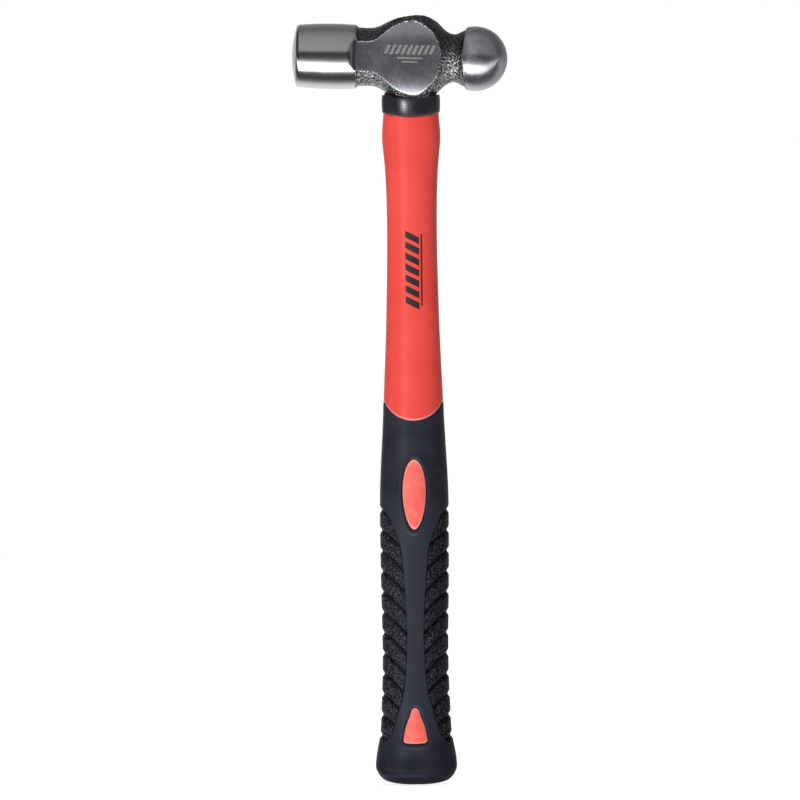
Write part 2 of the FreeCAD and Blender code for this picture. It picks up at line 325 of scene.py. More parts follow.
def poll_radius(x):
    """The barrelled side of the poll and the short slope behind it."""
    reaches = (-FACE_EDGE_REACH, -POLL_MID_REACH, -POLL_BACK_REACH)
    radii = (POLL_FRONT_RADIUS, POLL_MID_RADIUS, POLL_BACK_RADIUS)
    side = np.polyval(np.polyfit(reaches, radii, 2), x)
    slope = 12.0 - (x + POLL_BACK_REACH) * POLL_BACK_RISE
    return soft_min(side, slope, 0.35)


def ball_back(angle):
    """Where the ball's crisp back edge lies, in each direction round the head."""
    return BALL_BACK - BALL_BOW * np.sin(angle) ** 2


def ball_radius(x, angle):
    """The ball and the steep little slope behind its crisp back edge."""
    back = ball_back(angle)
    edge = np.sqrt(BALL_RADIUS**2 - (back - BALL_CENTRE) ** 2)
    inside = np.clip(BALL_RADIUS**2 - (x - BALL_CENTRE) ** 2, 0, None)
    return soft_min(np.sqrt(inside), edge + (x - back) * BALL_BACK_RISE, 0.2)


def cheek_reach(x):
    """How far from the middle plane the ground cheek lies at a place along the head."""
    past = np.clip(-CHEEK_END - x, 0, CHEEK_RUNOUT * 0.985)
    return CHEEK_HALF + CHEEK_RUNOUT - np.sqrt(CHEEK_RUNOUT**2 - past**2)


def cheek_roll(height):
    """How far the ground cheek has fallen away at a distance above or below the axis."""
    return CHEEK_ROLL * np.abs(height / CHEEK_SPAN) ** 3


def drawn_depth(x):
    """Half depth of the forging, drawn in so that the domed cheek keeps its outline."""
    deep = blank_depth(x)
    share = np.minimum(CHEEK_HALF / deep, 1)
    outline = blank_height(x) * np.sqrt(1 - share**2)
    return deep * (1 - cheek_roll(outline) / CHEEK_HALF)


def forged_ring(x, angle):
    """Distance from the head's axis to the forging before grinding, in each direction."""
    full = blank_depth(x)
    arch = CHEEK_ARCH * ease(np.cos(angle), 0.3, 0.6) * math.exp(-(((x - 1) / 6) ** 2))
    belly = CHEEK_BELLY * ease(-np.cos(angle), 0.3, 0.6)
    drawn = drawn_depth(x) * (1 - arch + belly)
    beside = ease(np.abs(np.sin(angle)), 0.38, 0.56)
    forged = oval_radius(angle, blank_height(x), full + (drawn - full) * beside, 2.0)
    if x < -15:
        forged = soft_max(forged, poll_radius(x), 0.5)
    return forged


def ground_ring(x, angle, forged):
    """Distance from the head's axis to the plane of the ground cheek, in each direction."""
    down = np.cos(angle)
    out = np.maximum(np.abs(np.sin(angle)), 1e-3)
    ring = np.minimum(cheek_reach(x) / out, forged)
    for _ in range(4):
        height = ring * down
        roll = cheek_roll(height) * ease(x, -17, -9)
        arm = (CHEEK_ARM_CUT + CHEEK_TWIST * height) * ease(-x, 4, 12)
        ring = np.minimum((cheek_reach(x) - roll - arm) / out, forged + 3)
    return ring


def head_rows():
    """Every loop of the head as (place along it, radius where it is turned), face to ball."""
    rows = []
    for r in np.linspace(0.4, FACE_CROWN_HALF, 9)[:-1]:
        rows.append((-FACE_REACH + CROWN_RADIUS - math.sqrt(CROWN_RADIUS**2 - r * r), r))
    rim_start = -FACE_REACH + CROWN_RADIUS - math.sqrt(CROWN_RADIUS**2 - FACE_CROWN_HALF**2)
    rim_radius = float(poll_radius(-FACE_EDGE_REACH))
    for turn in np.linspace(0, math.pi / 2, 15)[:-1]:
        x = rim_start + (-FACE_EDGE_REACH - rim_start) * (1 - math.cos(turn))
        rows.append((x, FACE_CROWN_HALF + (rim_radius - FACE_CROWN_HALF) * math.sin(turn)))
    stretches = [
        (-FACE_EDGE_REACH, -22.4, 0.6),
        (-22.4, -18.4, 0.16),
        (-18.4, 20.0, 0.23),
        (20.0, 22.4, 0.12),
    ]
    for start, stop, step in stretches:
        for x in np.arange(start, stop - step / 2, step):
            rows.append((x, None))
    first = math.asin((22.4 - BALL_CENTRE) / BALL_RADIUS)
    for turn in np.linspace(first, math.pi / 2, 44)[:-1]:
        rows.append((BALL_CENTRE + BALL_RADIUS * math.sin(turn), BALL_RADIUS * math.cos(turn)))
    return rows


def eye_half(height):
    """Half length and half width of the eye at a height above the head's axis."""
    share = (np.asarray(height, float) / EYE_HALF_LENGTH) ** 2
    long = EYE_WAIST[0] + (EYE_MOUTH[0] - EYE_WAIST[0]) * share
    wide = EYE_WAIST[1] + (EYE_MOUTH[1] - EYE_WAIST[1]) * share
    return long, wide


def eye_rim_drop(points):
    """How much the broken rim of the eye lowers the surface round it."""
    long, wide = eye_half(points[..., 2])
    ratio = np.sqrt((points[..., 0] / long) ** 2 + (points[..., 1] / wide) ** 2)
    slope = np.sqrt((points[..., 0] / long**2) ** 2 + (points[..., 1] / wide**2) ** 2) / ratio
    away = np.clip((ratio - 1) / slope / EYE_ROUND, 0, 1)
    return EYE_ROUND * (1 - np.sqrt(1 - (1 - away) ** 2))


def onto_handle(points):
    """Turns points drawn about the head's own axis to where the head sits."""
    c = math.cos(HEAD_CANT)
    s = math.sin(HEAD_CANT)
    x, y, z = points[..., 0], points[..., 1], points[..., 2]
    return place_points(x * c + z * s, y, -x * s + z * c + HEAD_AXIS_HEIGHT)


def head_surface(count):
    """The forging as loops of points, and where it is turned and where it is ground."""
    angle = columns(count)
    rows = []
    for x, plain in head_rows():
        flat = np.zeros(count)
        if plain is None:
            forged = forged_ring(x, angle)
            cheek = ground_ring(x, angle, forged)
            radius = soft_min(forged, cheek, CHEEK_EDGE)
            if x > 19:
                radius = soft_max(radius, ball_radius(x, angle), 0.25)
            flat = ease(forged - cheek, -0.13, -0.03)
        else:
            radius = plain
        loop = place_points(x, radius * np.sin(angle), radius * np.cos(angle))
        poll = 1 - ease(x, -20.8, -20.5)
        ball = ease(x - ball_back(angle), -0.1, 0.15)
        rows.append((loop, np.maximum(poll, ball), flat))
    loops, turned, ground = stack_rows(rows)
    lumps = sum(height * grain(loops, size, seed) for height, size, seed in FORGED_LUMPS)
    lumps = lumps.reshape(turned.shape)
    outward = loops * (0, 1, 1)
    outward /= np.maximum(np.linalg.norm(outward, axis=-1, keepdims=True), 1e-6)
    loops += outward * (lumps * (1 - turned) * (1 - ground))[..., None]
    loops[..., 2] -= np.sign(loops[..., 2]) * eye_rim_drop(loops)
    return loops, {"turned": turned, "ground": ground * (1 - turned)}


def eye_cutter():
    """The waisted eye as a solid, a little longer than the head is high."""
    angle = columns(EYE_COLUMNS)
    loops = [ellipse_loop(height, eye_half(height), angle) for height in np.linspace(-22, 22, 45)]
    return new_piece("eye_cutter", [closed_skin(onto_handle(np.array(loops)))], None)


def make_head(material):
    loops, masks = head_surface(HEAD_COLUMNS)
    head = new_piece("forged_head", [closed_skin(onto_handle(loops))], material)
    for name, mask in masks.items():
        mark_points(head, name, [mask])
    carve(head, eye_cutter())
    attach(head, "root")
    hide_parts("hammer_head")
    return head


# ---- Handle ----
handle_width = table(HANDLE_SECTIONS, 1)
handle_depth = table(HANDLE_SECTIONS, 2)
strip_half = table(STRIP_OUTLINE, 1)


def junction_height(x):
    """Height of the U-shaped upper edge of the grip, across the handle."""
    dip = JUNCTION_SIDE - JUNCTION_DIP
    radius = (JUNCTION_HALF**2 + dip**2) / (2 * dip)
    across = np.minimum(np.abs(x), JUNCTION_HALF)
    return JUNCTION_DIP + radius - np.sqrt(radius**2 - across**2)


def handle_loop(height, angle, inset):
    """Points round the handle; height and inset may differ from point to point."""
    wide = handle_width(height) - inset
    deep = handle_depth(height) - inset
    radius = oval_radius(angle, wide, deep, SQUARENESS)
    return place_points(radius * np.cos(angle), radius * np.sin(angle), height)


def handle_front(x, z):
    """Distance of the handle's skin from its middle plane at a place on its front."""
    share = np.clip(np.abs(x) / handle_width(z), 0, 1)
    return handle_depth(z) * (1 - share**SQUARENESS) ** (1 / SQUARENESS)


def oval_outline(count):
    turn = columns(count)
    across, along = OVAL_WINDOW_HALF
    x = across * np.cos(turn) * (1 + OVAL_WINDOW_EGG * np.sin(turn))
    return np.stack([x, OVAL_WINDOW_HEIGHT + along * np.sin(turn)], axis=-1)


def triangle_outline(count):
    """A smooth closed curve through the triangle's points, anticlockwise from its apex."""
    left = [(-half, at) for half, at in TRIANGLE_OUTLINE]
    right = [(half, at) for half, at in reversed(TRIANGLE_OUTLINE[1:-1])]
    corners = np.array(left + right)
    around = np.vstack([corners[-4:], corners, corners[:5]])
    steps = np.linalg.norm(np.diff(around, axis=0), axis=1)
    length = np.concatenate([[0], np.cumsum(steps)])
    even = np.linspace(length[4], length[4 + len(corners)], count, endpoint=False)
    outline = np.stack([spline(length, around[:, i])(even) for i in (0, 1)], axis=-1)
    return outline + (TRIANGLE_SHIFT, 0)


def outline_normals(outline):
    along = np.roll(outline, -1, axis=0) - np.roll(outline, 1, axis=0)
    along /= np.linalg.norm(along, axis=1, keepdims=True)
    return np.stack([along[:, 1], -along[:, 0]], axis=-1)


def outside_distance(points, outline):
    """Distance outside an outline, negative within, for many points at once."""
    gap = points[:, None, :] - outline[None]
    nearest = np.argmin((gap**2).sum(axis=-1), axis=1)
    chosen = gap[np.arange(len(points)), nearest]
    return (chosen * outline_normals(outline)[nearest]).sum(axis=-1)


WINDOWS = [oval_outline(160), triangle_outline(160)]


def rib_depth(x, z):
    """How deep the ribbed zone lies below the skin, how far it is ribbed, and its shade."""
    pitch = (RIB_TOP - RIB_BOTTOM) / (RIB_GROOVES - 1)
    fall = z + (handle_width(z) - np.abs(x)) * GROOVE_SLOPE
    place = (RIB_TOP - fall) / pitch
    share = place - np.floor(place)
    start = 1 - ease(share, 0.03, 0.24)
    finish = ease(share, 0.78, 1.05) ** 1.2
    groove = GROOVE_DEPTH * np.maximum(start, finish)
    inside = np.abs(x) - strip_half(z)
    zone = ease(inside, -0.05, 0.35)
    front = 1 - ease(np.abs(x) / handle_width(z), 0.75, 1.0)
    shade = np.maximum(1 - ease(share, 0.0, 0.2), ease(share, 0.9, 1.0))
    shade = np.maximum(shade, 1 - ease(inside, 0.15, 0.6)) * ease(inside, -0.15, 0.1)
    return zone * (groove + RIB_SINK * front + 0.03), zone, shade


def window_rim(points):
    """How far the grip's skin is drawn in, or raised if negative, round its windows."""
    inset = np.zeros(len(points))
    for outline in WINDOWS:
        low = outline.min(axis=0)
        high = outline.max(axis=0)
        flat = points[:, (0, 2)]
        near = np.all((flat > low - 3) & (flat < high + 3), axis=1)
        away = outside_distance(flat[near], outline)
        rounding = np.clip(away / WINDOW_ROUND, 0, 1)
        rim = WINDOW_DROP * (1 - np.sqrt(1 - (1 - rounding) ** 2))
        below = 1 - ease(flat[near][:, 1], low[1], low[1] + 4.0)
        lip = (0.04 + 0.24 * below) * np.exp(-(((away - 1.0) / 0.55) ** 2))
        inset[near] += rim - lip
    return inset


def butt_rows():
    """Loops under the butt as (inset, height), from its middle out to its widest place."""
    return [
        (13.0, 0.0), (11.0, 0.06), (9.5, 0.18), (8.3, 0.34), (7.2, 0.5), (6.1, 0.74), (5.0, 1.02),
        (4.2, 1.28), (3.6, 1.52), (3.1, 1.8), (2.75, 2.1), (2.4, 2.4), (2.0, 2.75), (1.6, 3.2),
        (1.2, 3.8), (0.8, 4.5), (0.45, 5.2), (0.2, 5.8), (0.05, 6.5), (0.0, 7.1),
    ]


def grip_skin(count):
    """The outside of the grip from the butt to its U-shaped edge, then its hidden inside."""
    angle = columns(count)
    plain = np.zeros(count)
    rows = []
    foot = handle_loop(7.0, angle, 0.0)
    for inset, height in butt_rows():
        share = max(1 - inset / handle_width(7.0), 0.005)
        rows.append((foot * (share, share, 0) + (0, 0, height), plain, plain))
    top_of_even = 124.0
    heights = list(np.arange(7.5, 106.0, 0.35)) + list(np.arange(106.0, top_of_even, 0.5))
    edge = junction_height(handle_loop(JUNCTION_LOOP, angle, 0.0)[:, 0])
    for share in np.linspace(0, 1, 26):
        heights.append(top_of_even + (edge - LIP_HEIGHT - top_of_even) * share)
    for height in heights:
        skin = handle_loop(height, angle, 0.0)
        depth, zone, shade = rib_depth(skin[:, 0], skin[:, 2])
        swell = -0.1 * ease(skin[:, 2] - edge, -5.0, -0.5)
        rows.append((handle_loop(height, angle, depth + window_rim(skin) + swell), zone, shade))
    lip = ((0.28, -0.08), (0.42, -0.02), (0.5, 0.1), (0.52, 0.25), (0.5, 0.6), (0.3, GRIP_WALL))
    for rise, inset in lip:
        rows.append((handle_loop(edge - LIP_HEIGHT + rise, angle, inset), plain, plain))
    for share in np.linspace(0.1, 1, 12):
        height = edge + (GRIP_FLOOR - edge) * share
        rows.append((handle_loop(height, angle, GRIP_WALL), plain, plain))
    loops, ribbed, shaded = stack_rows(rows)
    return loops, {"ribbed": ribbed, "shade": shaded}


def window_cutters():
    """Prisms through the windows, front and back."""
    parts = []
    for outline in WINDOWS:
        for low, high in ((-16.0, -7.5), (7.5, 16.0)):
            ends = [place_points(outline[:, 0], y, outline[:, 1]) for y in (low, high)]
            parts.append(closed_skin(ends))
    return new_piece("window_cutters", parts, None)


def make_grip(material):
    loops, masks = grip_skin(HANDLE_COLUMNS)
    grip = new_piece("ribbed_grip", [closed_skin(loops)], material)
    for name, mask in masks.items():
        mark_points(grip, name, [mask])
    carve(grip, window_cutters())
    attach(grip, "root")
    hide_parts("grip_sleeve")
    return grip


def head_underside(x, y):
    """Height of the underside of the head's boss above the origin."""
    high = blank_height(x)
    deep = blank_depth(x)
    drop = high * np.sqrt(np.clip(1 - (y / deep) ** 2, 0, 1))
    return HEAD_AXIS_HEIGHT - drop - x * math.sin(HEAD_CANT)


def ellipse_loop(height, half, angle):
    """Points round an ellipse with the given half length and half width."""
    return place_points(half[0] * np.cos(angle), half[1] * np.sin(angle), height)


def collar_sag(x):
    """How far the collar's edges dip below their height at the sides."""
    return COLLAR_SAG * (1 - (x / COLLAR_HALF[0]) ** 2)


def jacket_body(count):
    """The bare red shaft, its step under the grip, its shoulder, tenon and bore."""
    angle = columns(count)
    edge = junction_height(handle_loop(JUNCTION_LOOP, angle, 0.0)[:, 0])
    top = handle_loop(NECK_LOOP, angle, 0.0)
    sag = collar_sag(top[:, 0])
    under = COLLAR_HIGH - sag - 0.2 + 1.5 * ease(np.abs(top[:, 0]), 5.5, 9.0)
    under = np.minimum(head_underside(top[:, 0], top[:, 1]) - HEAD_GAP, under)
    shoulder = ellipse_loop(0.0, TENON_HALF, angle)
    shoulder[:, 2] = head_underside(shoulder[:, 0], shoulder[:, 1]) - HEAD_GAP
    loops = [
        ellipse_loop(CORE_FOOT, CORE_HALF, angle),
        ellipse_loop(TENON_TOP, CORE_HALF, angle),
        ellipse_loop(TENON_TOP, TENON_HALF, angle),
        ellipse_loop(NECK_LOOP, TENON_HALF, angle),
        shoulder,
        handle_loop(under, angle, 0.6),
        handle_loop(under - 0.3, angle, 0.1),
    ]
    low = edge + 0.35
    for share in np.linspace(0, 1, 150)[1:]:
        loops.append(handle_loop(under - 0.6 + (low - under + 0.6) * share, angle, 0.0))
    for rise, inset in ((0.25, 0.03), (0.1, 0.12), (-0.05, 0.4), (-0.1, GRIP_WALL)):
        loops.append(handle_loop(edge + rise, angle, inset))
    for share in np.linspace(0.04, 1, 50):
        loops.append(handle_loop(edge + (GRIP_FLOOR + 1.0 - edge) * share, angle, GRIP_WALL + 0.02))
    loops.append(handle_loop(GRIP_FLOOR + 0.2, angle, GRIP_WALL + 1.2))
    loops = np.array(loops)
    above = loops[..., 2] - edge
    in_collar = loops[..., 2] - (COLLAR_LOW - collar_sag(loops[..., 0]))
    # painted shade below the grip's edge, and from just under the collar's lower edge up to the head
    painted_cover_shade = np.maximum(ease(-above, -0.02, 0.08), ease(in_collar, -0.5, -0.05))
    # painted highlight: a pale line just above the grip's edge
    rim = 1 - ease(np.abs(above - 0.25), 0.08, 0.28)
    return loops, painted_cover_shade, rim


def window_pad(outline, side):
    """One raised pad of the jacket that fills a window of the grip, gently domed."""
    rim = outline - outline_normals(outline) * PAD_GAP
    middle = rim.mean(axis=0)
    rows = []
    for share in (0.02, 0.2, 0.4, 0.6, 0.74, 0.84, 0.9, 0.94, 0.965, 0.985, 0.996, 1.0):
        flat = middle + (rim - middle) * share
        edge = np.clip((share - 0.9) / 0.1, 0, 1)
        lift = 0.45 * (1 - share**2) - 0.05 - 0.5 * (1 - math.sqrt(1 - edge**2))
        y = side * (handle_front(flat[:, 0], flat[:, 1]) + lift)
        # the last value is a painted highlight just inside the pad's edge
        rows.append((place_points(flat[:, 0], y, flat[:, 1]), 0.0, float(0.92 < share < 0.99)))
    for depth in (0.8, 2.6):
        y = side * (handle_front(rim[:, 0], rim[:, 1]) - depth)
        # painted shade on the pad's walls, seen in the gap round it
        rows.append((place_points(rim[:, 0], y, rim[:, 1]), 1.0, 0.0))
    loops, painted_cover_shade, bright = stack_rows(rows)
    return loops, np.repeat(painted_cover_shade, len(outline)), np.repeat(bright, len(outline))


def make_jacket(material):
    skins = [jacket_body(HANDLE_COLUMNS)]
    for outline in WINDOWS:
        skins += [window_pad(outline, -1), window_pad(outline, 1)]
    jacket = new_piece("red_shaft", [closed_skin(skin[0]) for skin in skins], material)
    # painted shade where the grip, the collar and the pads' gaps cover the jacket
    mark_points(jacket, "painted_cover_shade", [skin[1] for skin in skins])
    # painted highlights along the grip's edge and round the pads
    mark_points(jacket, "rim", [skin[2] for skin in skins])
    jacket.visible_glossy = False    # the steel's reflections don't show it
    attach(jacket, "root")
    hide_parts("handle_jacket")
    return jacket


def make_collar(material):
    """The saddle-shaped rubber ring, its outer edges rounded."""
    angle = columns(HANDLE_COLUMNS)
    radius = oval_radius(angle, *COLLAR_HALF, SQUARENESS)
    height = COLLAR_HIGH - COLLAR_LOW
    profile = [(COLLAR_WALL, 0.0)]
    for turn in np.linspace(0, math.pi / 2, 7):
        inset = COLLAR_LOW_ROUND * (1 - math.sin(turn))
        profile.append((inset, COLLAR_LOW_ROUND * (1 - math.cos(turn))))
    profile += [(0.0, height * share) for share in (0.2, 0.3, 0.4, 0.5, 0.6, 0.7, 0.8)]
    for turn in np.linspace(math.pi / 2, 0, 7):
        inset = COLLAR_HIGH_ROUND * (1 - math.sin(turn))
        profile.append((inset, height - COLLAR_HIGH_ROUND * (1 - math.cos(turn))))
    profile += [(1.1, height), (COLLAR_WALL, height - 0.3), (COLLAR_WALL, 4.0), (COLLAR_WALL, 2.0)]
    loops = []
    for inset, rise in profile:
        inset = inset + COLLAR_BULGE * (2 * rise / height - 1) ** 2
        x = (radius - inset) * np.cos(angle)
        y = (radius - inset) * np.sin(angle)
        loops.append(place_points(x, y, COLLAR_LOW + rise - collar_sag(x)))
    collar = new_piece("neck_ring", [closed_skin(loops, ring=True)], material)
    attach(collar, "root")
    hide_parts("neck_collar")
    return collar


def make_resin(material):
    """The epoxy in the eye: a shallow meniscus round the sawn end of the rod."""
    angle = columns(EYE_COLUMNS)
    top = RESIN_TOP - HEAD_AXIS_HEIGHT
    loops = []
    for rise in (-13.0, -8.0, 0.0, 6.0, 10.0, top - 0.6, top + 0.25):
        long, wide = eye_half(rise)
        loops.append(ellipse_loop(rise, (long - 0.02, wide - 0.02), angle))
    long, wide = eye_half(top)
    for share, climb in ((0.06, 0.12), (0.14, 0.04), (0.26, -0.02), (0.5, -0.08), (0.8, -0.06), (1.0, 0.0)):
        half = [a + (b - a) * share for a, b in zip((long, wide), CORE_HALF)]
        loops.append(ellipse_loop(top + climb, half, angle))
    placed = onto_handle(np.array(loops))
    low = ellipse_loop(HEAD_AXIS_HEIGHT - 6.0, CORE_HALF, angle)
    placed = np.vstack([placed, low[None]])
    resin = new_piece("eye_fill", [closed_skin(placed, ring=True)], material)
    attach(resin, "root")
    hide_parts("eye_resin")
    return resin


# ---- Materials ----
class Nodes:
    """A node tree, built by small calls that return output sockets."""

    def __init__(self, tree):
        self.tree = tree
        self.tree.nodes.clear()

    def put(self, socket, value):
        if isinstance(value, bpy.types.NodeSocket):
            self.tree.links.new(value, socket)
        else:
            socket.default_value = value

    def node(self, kind, *values):
        """A new node with its first inputs set or linked, in their order."""
        node = self.tree.nodes.new("ShaderNode" + kind)
        for socket, value in zip(node.inputs, values):
            self.put(socket, value)
        return node

    def math(self, operation, *values, clamp=False):
        node = self.node("Math", *values)
        node.operation = operation
        node.use_clamp = clamp
        return node.outputs[0]

    def times(self, a, b):
        return self.math("MULTIPLY", a, b)

    def plus(self, a, b):
        return self.math("ADD", a, b)

    def minus(self, a, b):
        return self.math("SUBTRACT", a, b)

    def split(self, vector):
        return self.node("SeparateXYZ", vector).outputs

    def join(self, x, y, z):
        return self.node("CombineXYZ", x, y, z).outputs[0]


class Graph(Nodes):
    """A material with one Principled shader, made from places on the object."""

    def __init__(self, name):
        self.material = bpy.data.materials.new(name)
        self.material.use_nodes = True
        super().__init__(self.material.node_tree)
        self.shader = self.node("BsdfPrincipled")
        self.node("OutputMaterial", self.shader.outputs[0])
        self.place = self.node("TexCoord").outputs["Object"]

    def set(self, **values):
        """Sets or links inputs of the shader, named with underscores for spaces."""
        for name, value in values.items():
            self.put(self.shader.inputs[name.replace("_", " ")], value)

    def along_head(self):
        """Places turned about the handle's axis point into the canted head's own frame."""
        node = self.node("VectorRotate", self.place, (0, 0, HEAD_AXIS_HEIGHT * MM))
        node.rotation_type = "Y_AXIS"
        node.inputs["Angle"].default_value = -HEAD_CANT
        return node.outputs[0]

    def noise(self, vector, size, detail=2.0, roughness=0.5):
        """Cloudy noise from 0 to 1 with features of the given size in millimetres."""
        node = self.node("TexNoise", vector)
        node.inputs["Scale"].default_value = 1 / (size * MM)
        node.inputs["Detail"].default_value = detail
        node.inputs["Roughness"].default_value = roughness
        return node.outputs[0]

    def cells(self, vector, size):
        """Distance from the middle of the nearest of many cells of the given size."""
        node = self.node("TexVoronoi", vector)
        node.inputs["Scale"].default_value = 1 / (size * MM)
        return node.outputs["Distance"]

    def between(self, value, low, high, to_low=0.0, to_high=1.0):
        """A smooth step from to_low at low to to_high at high."""
        node = self.node("MapRange", value, low, high, to_low, to_high)
        node.interpolation_type = "SMOOTHSTEP"
        return node.outputs[0]

    def below(self, value, low, high):
        """1 below low, 0 above high, smooth between."""
        return self.between(value, low, high, 1.0, 0.0)

    def blend(self, share, a, b):
        """A colour between a and b."""
        node = self.node("Mix", share)
        node.data_type = "RGBA"
        self.put(node.inputs[6], a)
        self.put(node.inputs[7], b)
        return node.outputs[2]

    def bump(self, height, distance, strength=1.0, under=None):
        """A normal raised by the height, with the distance in millimetres."""
        node = self.node("Bump")
        self.put(node.inputs["Height"], height)
        node.inputs["Distance"].default_value = distance * MM
        node.inputs["Strength"].default_value = strength
        if under is not None:
            self.put(node.inputs["Normal"], under)
        return node.outputs[0]

    def named(self, attribute):
        """A mask that is stored on the mesh under this name."""
        node = self.node("Attribute")
        node.attribute_name = attribute
        return node.outputs["Fac"]


def bar(g, across, along, half_across, half_along, soft):
    """1 inside a rectangle centred on 0, 0 outside, with soft edges; all in metres."""
    a = g.below(g.math("ABSOLUTE", across), half_across - soft, half_across + soft)
    b = g.below(g.math("ABSOLUTE", along), half_along - soft, half_along + soft)
    return g.times(a, b)


def slanted_bars(g, across, along, half_across, pitch, count, slant, share):
    """1 on a row of whole slanted bars centred on 0, 0 elsewhere; all in metres."""
    soft = 0.06 * MM
    place = g.plus(along, g.times(across, slant))
    edge = pitch / 2 * share
    stripes = g.below(g.math("PINGPONG", place, pitch / 2), edge - soft, edge + soft)
    return g.times(stripes, bar(g, across, place, half_across, pitch * count / 2, soft))


def forged_colour(g, local, z, fine):
    """Dark scale with pale specks, which are painted lighter below the head's axis and darker above it:
    painted light and shade.
    """
    coarse = g.noise(local, 1.5, 3.0, 0.6)
    specks = g.plus(g.times(fine, 0.7), g.times(coarse, 0.3))
    # painted light and shade: the specks are light below the axis and dim above it
    low = g.below(z, -4 * MM, 5 * MM)
    speck_tone_painted_light = g.blend(low, (0.24, 0.235, 0.235, 1), (0.70, 0.69, 0.69, 1))
    return g.blend(g.between(specks, 0.42, 0.62), (0.085, 0.082, 0.082, 1), speck_tone_painted_light)


def polished_colour(g, local, poll, cloud):
    """Mottled on the cheeks and the ball, even on the poll."""
    mottle = g.plus(g.times(cloud, 0.45), g.times(g.noise(local, 0.45, 1.0), 0.55))
    satin = g.blend(g.between(mottle, 0.36, 0.64), (0.37, 0.357, 0.41, 1), (0.57, 0.555, 0.62, 1))
    return g.blend(poll, satin, (0.60, 0.595, 0.62, 1))


def tool_lines(g, x, y, z, turned, ground):
    """Fine rings round what was turned, and upright lines on what was ground."""
    angle = g.math("ARCTAN2", y, z)
    lathe = g.noise(g.join(x, g.times(angle, 0.4 * MM), 0.0), 0.16, 3.0, 0.6)
    belt = g.noise(g.join(x, y, g.times(z, 0.06)), 0.22, 3.0, 0.6)
    return g.plus(g.times(lathe, turned), g.times(belt, ground))


def steel():
    """Ground and turned surfaces bright and brushed; the forging between dark and stippled."""
    g = Graph("forged_steel")
    local = g.along_head()
    x, y, z = g.split(local)
    z = g.minus(z, HEAD_AXIS_HEIGHT * MM)
    turned = g.named("turned")
    ground = g.named("ground")
    bright = g.math("ADD", turned, ground, clamp=True)
    rough = g.minus(1.0, bright)
    poll = g.times(turned, g.below(x, -1 * MM, 1 * MM))
    worked = g.minus(bright, poll)
    cloud = g.noise(local, 6.0, 3.0)
    fine = g.noise(local, 0.7, 3.0, 0.6)
    lines = tool_lines(g, x, y, z, turned, ground)

    polished = polished_colour(g, local, poll, cloud)
    colour = g.blend(bright, forged_colour(g, local, z, fine), polished)
    etched = g.times(cheek_mark(g, x, y, z), g.between(fine, 0.3, 0.5, 0.55, 1.0))
    colour = g.blend(g.times(etched, 0.85), colour, (0.60, 0.575, 0.53, 1))

    gloss = g.plus(g.between(lines, 0.3, 0.7, 0.12, 0.18), g.times(worked, 0.06))
    gloss = g.plus(gloss, g.between(cloud, 0.35, 0.75, 0.0, 0.05))
    dull = g.between(fine, 0.3, 0.7, 0.22, 0.36)
    roughness = g.plus(g.times(gloss, bright), g.times(dull, rough))
    roughness = g.plus(roughness, g.times(etched, 0.25))

    relief = g.plus(g.times(fine, 0.8), g.times(g.cells(local, 1.15), 0.8))
    lumps = g.bump(g.times(relief, rough), 0.45)
    scratches = g.bump(g.times(lines, bright), 0.003, 0.6, lumps)
    metallic = g.minus(1.0, g.times(worked, 0.12))
    g.set(Base_Color=colour, Metallic=metallic, Roughness=roughness, Normal=scratches)
    return g.material


def cheek_mark(g, x, y, z):
    """A plain etched ornament on the front cheek: slanted bars over two thin rules."""
    front = g.below(y, -8.0 * MM, -7.8 * MM)
    across = g.minus(x, -0.3 * MM)
    upper = g.minus(z, 2.5 * MM)
    mark = slanted_bars(g, upper, across, 1.75 * MM, 2.1 * MM, 9, -0.45, 0.62)
    for height, half_length in ((-0.7, 4.7), (-2.1, 3.0)):
        level = g.minus(z, height * MM)
        rule = bar(g, across, level, half_length * MM, 0.3 * MM, 0.06 * MM)
        mark = g.math("MAXIMUM", mark, rule)
    return g.times(mark, front)


def moulded_red(g, z):
    """The red of the shaft, and the lighter red of the pads in the grip's windows."""
    cloud = g.noise(g.place, 14.0, 3.0)
    shaft = g.blend(g.between(cloud, 0.3, 0.7), (0.83, 0.066, 0.049, 1), (0.88, 0.081, 0.062, 1))
    patches = g.between(g.noise(g.place, 4.0, 3.0), 0.35, 0.7)
    pad = g.blend(patches, (0.98, 0.12, 0.092, 1), (0.99, 0.18, 0.145, 1))
    return g.blend(g.below(z, 128 * MM, 134 * MM), shaft, pad)


def shaft_print(g, x, y, z):
    """A plain ornament printed up the front: slanted bars beside a thin line."""
    middle = g.minus(z, PRINT_HEIGHT * MM)
    bars = slanted_bars(g, x, middle, 2.6 * MM, 4.1 * MM, 7, 0.5, 0.62)
    line = bar(g, g.minus(x, 3.5 * MM), middle, 0.3 * MM, 13.5 * MM, 0.06 * MM)
    front = g.below(y, -1.0 * MM, -0.5 * MM)
    ink = g.times(g.math("MAXIMUM", bars, line), front)
    return g.times(ink, g.between(g.noise(g.place, 0.4, 2.0), 0.28, 0.4, 0.85, 1.0))


